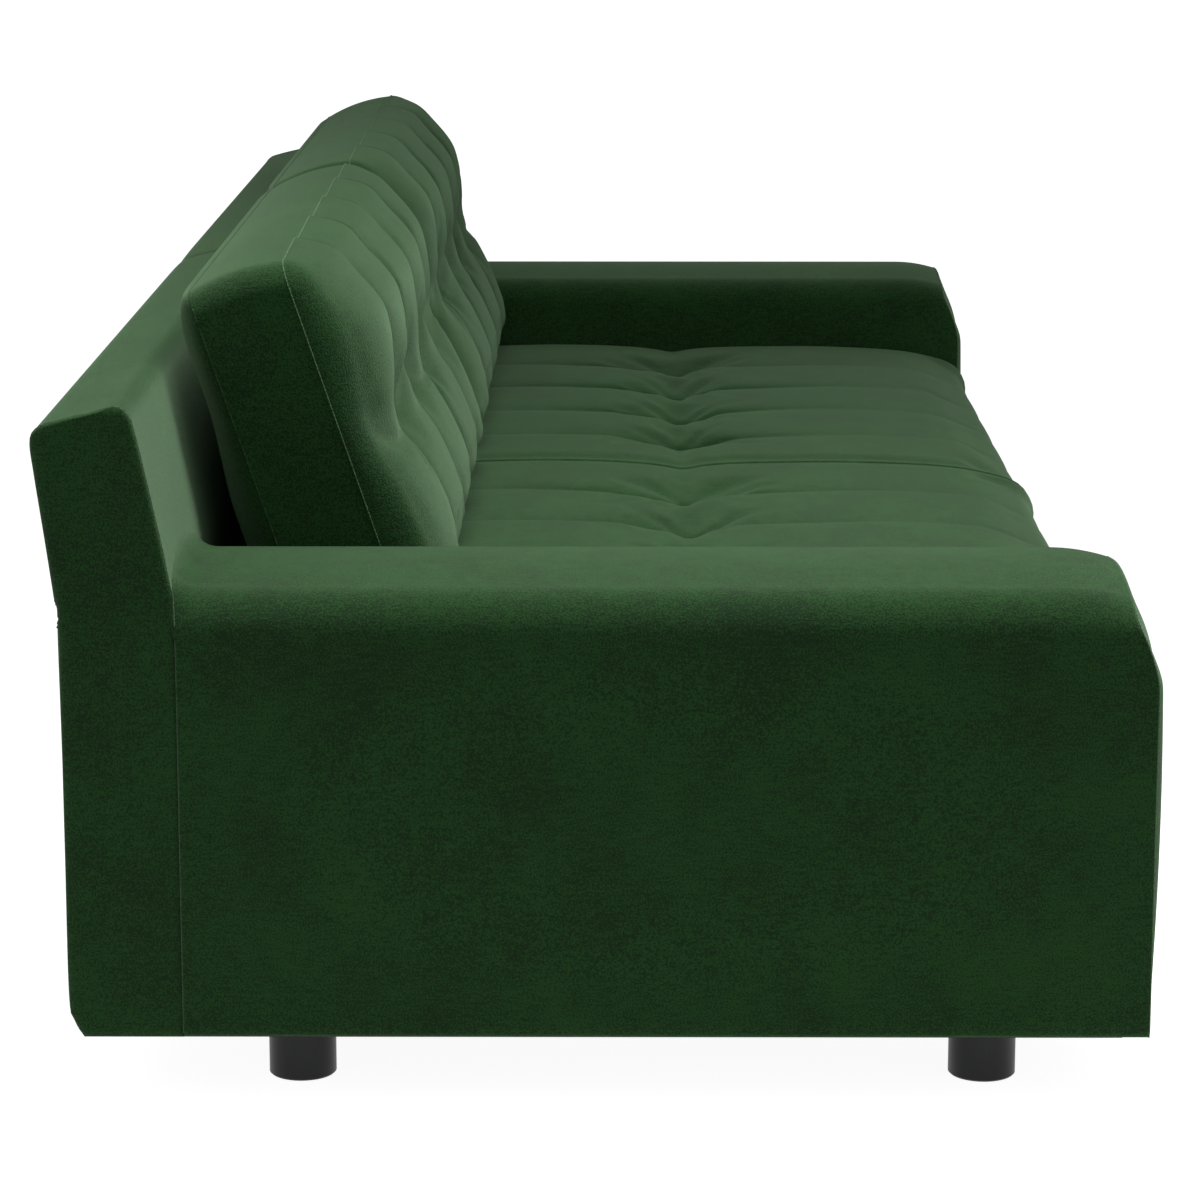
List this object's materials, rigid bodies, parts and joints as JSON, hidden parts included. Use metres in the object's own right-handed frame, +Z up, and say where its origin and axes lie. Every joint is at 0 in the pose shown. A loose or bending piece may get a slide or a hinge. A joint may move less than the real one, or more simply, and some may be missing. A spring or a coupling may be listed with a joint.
{
  "type": "four-seat sofa",
  "caption": "Low velvet sofa with square track arms, a leaning low back, and loose biscuit-tufted seat and back cushions on short round feet.",
  "frame": {"origin": "on the floor, at the centre of the footprint", "axes": "+X along the length, to the right of a viewer who faces the seat; +Y from the front edge to the back; +Z up"},
  "size_m": [2.38, 0.9988, 0.7442],
  "materials": {
    "velvet": "dark green pile with a soft sheen",
    "foam": "open-cell upholstery foam with fibre wrap",
    "felt": "needled fibre pad",
    "webbing": "woven elastic strap",
    "dust_cloth": "thin non-woven cloth",
    "timber": "bare sawn softwood and ply",
    "foot_black": "satin black lacquer on turned wood",
    "glide": "matt moulded glide",
    "steel": "zinc plated"
  },
  "bodies": {
    "frame": {"arm_left_base_board": "timber", "arm_left_cover": "velvet", "arm_left_foam": "foam", "arm_left_front_board": "timber", "arm_left_front_panel": "velvet", "arm_left_inner_board": "timber", "arm_left_outer_board": "timber", "arm_left_rear_board": "timber", "arm_left_top_board": "timber", "arm_right_base_board": "timber", "arm_right_cover": "velvet", "arm_right_foam": "foam", "arm_right_front_board": "timber", "arm_right_front_panel": "velvet", "arm_right_inner_board": "timber", "arm_right_outer_board": "timber", "arm_right_rear_board": "timber", "arm_right_top_board": "timber", "back_bottom_rail": "timber", "back_cover_left": "velvet", "back_cover_right": "velvet", "back_end_panel_left": "velvet", "back_end_panel_right": "velvet", "back_foam": "foam", "back_mid_rails": "timber", "back_post_centre": "timber", "back_post_left": "timber", "back_post_right": "timber", "back_top_rail": "timber", "back_webbing": "webbing", "centre_rail": "timber", "corner_blocks": "timber", "deck_pad": "felt", "dust_cover": "dust_cloth", "foot_front_left": "foot_black", "foot_front_right": "foot_black", "foot_glides": "glide", "foot_rear_left": "foot_black", "foot_rear_right": "foot_black", "foot_studs": "steel", "foot_t_nuts": "steel", "frame_bolts": "steel", "frame_nuts": "steel", "front_border_cover": "velvet", "front_border_foam": "foam", "front_rail": "timber", "outside_back_panel": "velvet", "rear_rail": "timber", "seat_springs": "steel", "side_rail_left": "timber", "side_rail_right": "timber", "spring_clips": "steel"},
    "seat_cushion_left": {"seat_cushion_left_cover": "velvet", "seat_cushion_left_core": "foam"},
    "seat_cushion_right": {"seat_cushion_right_cover": "velvet", "seat_cushion_right_core": "foam"},
    "back_cushion_left": {"back_cushion_left_cover": "velvet", "back_cushion_left_core": "foam"},
    "back_cushion_right": {"back_cushion_right_cover": "velvet", "back_cushion_right_core": "foam"}
  },
  "joints": [
    {"name": "seat_cushion_left_pull", "type": "slide", "parent": "frame", "child": "seat_cushion_left", "axis": [0, -0.9962, 0.0872], "range_m": [0, 0.9]},
    {"name": "back_cushion_left_lift", "type": "slide", "parent": "frame", "child": "back_cushion_left", "axis": [0, 0, 1], "range_m": [0, 0.4]},
    {"name": "seat_cushion_right_pull", "type": "slide", "parent": "frame", "child": "seat_cushion_right", "axis": [0, -0.9962, 0.0872], "range_m": [0, 0.9]},
    {"name": "back_cushion_right_lift", "type": "slide", "parent": "frame", "child": "back_cushion_right", "axis": [0, 0, 1], "range_m": [0, 0.4]}
  ]
}
